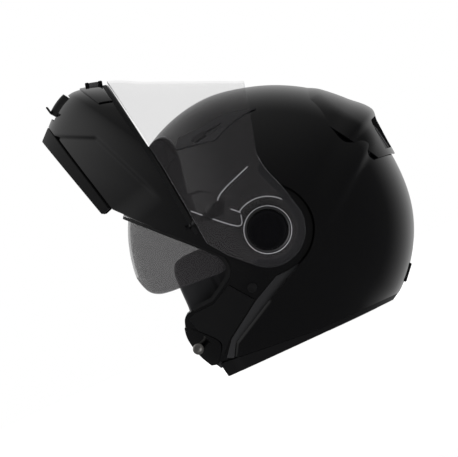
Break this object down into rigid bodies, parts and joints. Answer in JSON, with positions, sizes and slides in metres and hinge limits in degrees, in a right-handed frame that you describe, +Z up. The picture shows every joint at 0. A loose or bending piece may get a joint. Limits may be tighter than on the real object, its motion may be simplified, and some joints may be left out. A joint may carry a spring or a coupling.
{
  "type": "motorcycle helmet",
  "caption": "Flip-up motorcycle helmet with a raised chin bar, clear face visor, drop-down smoke sun visor, crown vents and rear spoiler, standing on its rim.",
  "frame": {"origin": "centre of the overall box in plan with the chin bar raised, in the plane of the rim that the helmet stands on", "axes": "+Z up, the wearer faces -X, the wearer's left is -Y"},
  "size_m": [0.3032, 0.266, 0.3148],
  "materials": {
    "gloss_black": "gloss lacquer",
    "satin_black": "satin",
    "clear_shield": "polished clear",
    "smoke_shield": "polished smoke",
    "foam": "moulded bead foam",
    "lining": "brushed knit",
    "webbing": "woven",
    "rubber": "matte",
    "steel": "turned",
    "silver_face": "satin"
  },
  "bodies": {
    "helmet_shell": {"outer_shell": "gloss_black", "rim_trim": "rubber", "eyeport_gasket": "rubber", "foam_liner": "foam", "crown_pad": "lining", "neck_roll": "lining", "rear_vent_spoiler": "gloss_black", "rear_vent_grille": "satin_black", "rear_tab": "satin_black", "strap_left": "webbing", "strap_right": "webbing", "buckle_body": "steel", "side_panel_left": "satin_black", "side_panel_right": "satin_black", "latch_panel_left": "gloss_black", "latch_panel_right": "gloss_black", "shell_plug_left": "satin_black", "shell_plug_right": "satin_black", "striker_pin_left": "steel", "striker_pin_right": "steel", "pivot_axle_left": "steel", "pivot_axle_right": "steel", "pivot_plate_left": "steel", "pivot_plate_right": "steel", "pivot_ring_left": "gloss_black", "pivot_ring_right": "gloss_black", "pivot_cap_left": "gloss_black", "pivot_cap_right": "gloss_black", "cheek_pad_left": "lining", "cheek_pad_right": "lining", "top_vent_left": "gloss_black", "top_vent_right": "gloss_black"},
    "chin_bar": {"chin_bar_shell": "gloss_black", "chin_bar_trim": "satin_black", "chin_bar_liner": "foam", "latch_post_left": "steel", "latch_post_right": "steel"},
    "visor": {"face_visor": "clear_shield"},
    "sun_visor": {"sun_visor_lens": "smoke_shield"},
    "sun_visor_slide": {"sun_visor_slider": "satin_black"},
    "crown_slider_left": {"top_vent_slider_left": "satin_black"},
    "crown_slider_right": {"top_vent_slider_right": "satin_black"},
    "chin_flap": {"chin_vent_flap": "gloss_black"},
    "chin_slide": {"chin_slider": "silver_face"},
    "button": {"release_button": "satin_black"},
    "hook_left": {"latch_hook_left": "steel"},
    "hook_right": {"latch_hook_right": "steel"},
    "strap_lever": {"buckle_lever": "steel"}
  },
  "joints": [
    {"name": "chin_bar_flip", "type": "hinge", "parent": "helmet_shell", "child": "chin_bar", "pos_m": [0.00928, 0, 0.113], "axis": [0, 1, 0], "range_deg": [-75, 0]},
    {"name": "visor_tilt", "type": "hinge", "parent": "chin_bar", "child": "visor", "pos_m": [0.00928, 0, 0.113], "axis": [0, 1, 0], "range_deg": [0, 22]},
    {"name": "sun_visor_drop", "type": "hinge", "parent": "helmet_shell", "child": "sun_visor", "pos_m": [0.00928, 0, 0.113], "axis": [0, 1, 0], "range_deg": [0, 38]},
    {"name": "sun_visor_slide", "type": "slide", "parent": "helmet_shell", "child": "sun_visor_slide", "axis": [1, 0, 0], "range_m": [0, 0.012]},
    {"name": "crown_vent_left", "type": "hinge", "parent": "helmet_shell", "child": "crown_slider_left", "pos_m": [0.00928, 0, 0.113], "axis": [0, 1, 0], "range_deg": [0, 8]},
    {"name": "crown_vent_right", "type": "hinge", "parent": "helmet_shell", "child": "crown_slider_right", "pos_m": [0.00928, 0, 0.113], "axis": [0, 1, 0], "range_deg": [0, 8]},
    {"name": "chin_vent_hinge", "type": "hinge", "parent": "chin_bar", "child": "chin_flap", "pos_m": [-0.11317, 0, 0.31033], "axis": [0, 1, 0], "range_deg": [-25, 0]},
    {"name": "chin_slide_travel", "type": "slide", "parent": "chin_bar", "child": "chin_slide", "axis": [-0.9817, 0, 0.1904], "range_m": [0, 0.004]},
    {"name": "release_press", "type": "slide", "parent": "chin_bar", "child": "button", "axis": [0.9659, 0, 0.2588], "range_m": [0, 0.003], "stiffness_N_per_m": 400},
    {"name": "latch_left", "type": "hinge", "parent": "chin_bar", "child": "hook_left", "pos_m": [-0.08425, -0.0822, 0.22252], "axis": [0, 1, 0], "range_deg": [-20, 0]},
    {"name": "latch_right", "type": "hinge", "parent": "chin_bar", "child": "hook_right", "pos_m": [-0.08425, 0.0822, 0.22252], "axis": [0, 1, 0], "range_deg": [-20, 0]},
    {"name": "buckle_flip", "type": "hinge", "parent": "helmet_shell", "child": "strap_lever", "pos_m": [-0.02372, -0.014, 0.0117], "axis": [1, 0, 0], "range_deg": [0, 50]}
  ],
  "couplings": [
    {"joint": "sun_visor_slide", "follows": "sun_visor_drop", "m_per_rad": 0.018003},
    {"joint": "latch_right", "follows": "latch_left", "ratio": 1}
  ]
}
